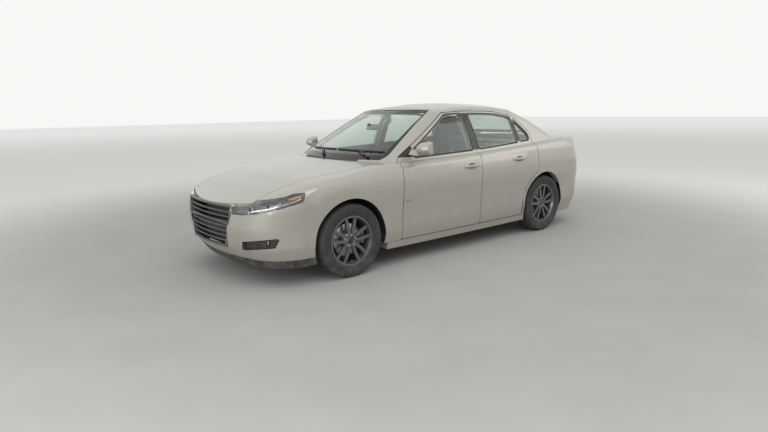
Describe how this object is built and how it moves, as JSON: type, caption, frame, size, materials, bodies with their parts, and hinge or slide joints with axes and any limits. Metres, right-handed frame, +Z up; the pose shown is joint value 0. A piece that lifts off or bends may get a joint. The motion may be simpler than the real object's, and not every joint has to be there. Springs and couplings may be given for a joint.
{
  "type": "compact sedan car",
  "caption": "Compact sedan with hinged doors, hood and trunk lid, steered front wheels, free-turning wheels and a furnished, hollow cabin.",
  "frame": {"origin": "on the ground under the middle of the car's length and width", "axes": "+X forward, +Y to the car's left, +Z up"},
  "size_m": [4.562, 2, 1.455],
  "materials": {
    "body_paint": "metallic gloss",
    "dark_trim": "satin",
    "grille_trim": "satin",
    "glass": "clear",
    "lamp_lens": "clear",
    "lamp_housing": "gloss",
    "tail_lens": "gloss",
    "alloy": "satin",
    "tyre": "matt",
    "cast": "matt",
    "chassis": "matt",
    "floor": "matt",
    "seat_cloth": "matt",
    "cabin_trim": "matt",
    "engine": "matt",
    "exhaust": "satin",
    "tank": "matt"
  },
  "bodies": {
    "body": {"body_side_left": "body_paint", "body_side_right": "body_paint", "roof_panel": "body_paint", "rear_deck": "body_paint", "front_fender_left": "body_paint", "front_fender_right": "body_paint", "front_bumper": "body_paint", "rear_bumper": "body_paint", "cowl_panel": "dark_trim", "front_lip": "dark_trim", "wheel_liners": "dark_trim", "grille": "grille_trim", "windshield": "glass", "rear_window": "glass", "head_lamp_lenses": "lamp_lens", "head_lamps": "lamp_housing", "tail_lamps": "tail_lens", "rear_axle": "cast", "front_subframe": "chassis", "radiator": "chassis", "floor_pan": "floor", "front_seats": "seat_cloth", "rear_seat": "seat_cloth", "dashboard": "cabin_trim", "centre_console": "cabin_trim", "parcel_shelf": "cabin_trim", "steering_column": "cabin_trim", "engine_block": "engine", "exhaust": "exhaust", "fuel_tank": "tank"},
    "front_door_left": {"front_door_left": "body_paint", "front_door_window_left": "glass", "mirror_left": "body_paint"},
    "front_door_right": {"front_door_right": "body_paint", "front_door_window_right": "glass", "mirror_right": "body_paint"},
    "rear_door_left": {"rear_door_left": "body_paint", "rear_door_window_left": "glass"},
    "rear_door_right": {"rear_door_right": "body_paint", "rear_door_window_right": "glass"},
    "hood": {"hood": "body_paint"},
    "trunk_lid": {"trunk_lid": "body_paint"},
    "steering_wheel": {"steering_wheel": "cabin_trim"},
    "knuckle_left": {"knuckle_left": "cast"},
    "knuckle_right": {"knuckle_right": "cast"},
    "wheel_front_left": {"wheel_front_left": "alloy", "tyre_front_left": "tyre"},
    "wheel_front_right": {"wheel_front_right": "alloy", "tyre_front_right": "tyre"},
    "wheel_rear_left": {"wheel_rear_left": "alloy", "tyre_rear_left": "tyre"},
    "wheel_rear_right": {"wheel_rear_right": "alloy", "tyre_rear_right": "tyre"}
  },
  "joints": [
    {"name": "front_door_left_hinge", "type": "hinge", "parent": "body", "child": "front_door_left", "pos_m": [0.73, 0.868, 0.6], "axis": [0, 0, -1], "range_deg": [0, 65]},
    {"name": "rear_door_left_hinge", "type": "hinge", "parent": "body", "child": "rear_door_left", "pos_m": [-0.322, 0.868, 0.6], "axis": [0, 0, -1], "range_deg": [0, 65]},
    {"name": "front_door_right_hinge", "type": "hinge", "parent": "body", "child": "front_door_right", "pos_m": [0.73, -0.868, 0.6], "axis": [0, 0, 1], "range_deg": [0, 65]},
    {"name": "rear_door_right_hinge", "type": "hinge", "parent": "body", "child": "rear_door_right", "pos_m": [-0.322, -0.868, 0.6], "axis": [0, 0, 1], "range_deg": [0, 65]},
    {"name": "hood_hinge", "type": "hinge", "parent": "body", "child": "hood", "pos_m": [0.915, 0, 0.925], "axis": [0, -1, 0], "range_deg": [0, 58]},
    {"name": "trunk_lid_hinge", "type": "hinge", "parent": "body", "child": "trunk_lid", "pos_m": [-1.64, 0, 1.01], "axis": [0, 1, 0], "range_deg": [0, 75]},
    {"name": "steer_left", "type": "hinge", "parent": "body", "child": "knuckle_left", "pos_m": [1.36, 0.7, 0.196], "axis": [-0.0462, -0.1883, 0.981], "range_deg": [-34, 34]},
    {"name": "steer_right", "type": "hinge", "parent": "body", "child": "knuckle_right", "pos_m": [1.36, -0.7, 0.196], "axis": [-0.0462, 0.1883, 0.981], "range_deg": [-34, 34]},
    {"name": "steering_wheel_turn", "type": "hinge", "parent": "body", "child": "steering_wheel", "pos_m": [0.462, 0.365, 0.812], "axis": [-0.9135, 0, 0.4067], "range_deg": [-480, 480]},
    {"name": "wheel_front_left_spin", "type": "hinge", "parent": "knuckle_left", "child": "wheel_front_left", "pos_m": [1.355, 0.763, 0.316], "axis": [0, 1, 0], "continuous": true},
    {"name": "wheel_front_right_spin", "type": "hinge", "parent": "knuckle_right", "child": "wheel_front_right", "pos_m": [1.355, -0.763, 0.316], "axis": [0, 1, 0], "continuous": true},
    {"name": "wheel_rear_left_spin", "type": "hinge", "parent": "body", "child": "wheel_rear_left", "pos_m": [-1.345, 0.763, 0.316], "axis": [0, 1, 0], "continuous": true},
    {"name": "wheel_rear_right_spin", "type": "hinge", "parent": "body", "child": "wheel_rear_right", "pos_m": [-1.345, -0.763, 0.316], "axis": [0, 1, 0], "continuous": true}
  ],
  "couplings": [
    {"joint": "steer_right", "follows": "steer_left", "ratio": 1},
    {"joint": "steering_wheel_turn", "follows": "steer_left", "ratio": 14}
  ]
}
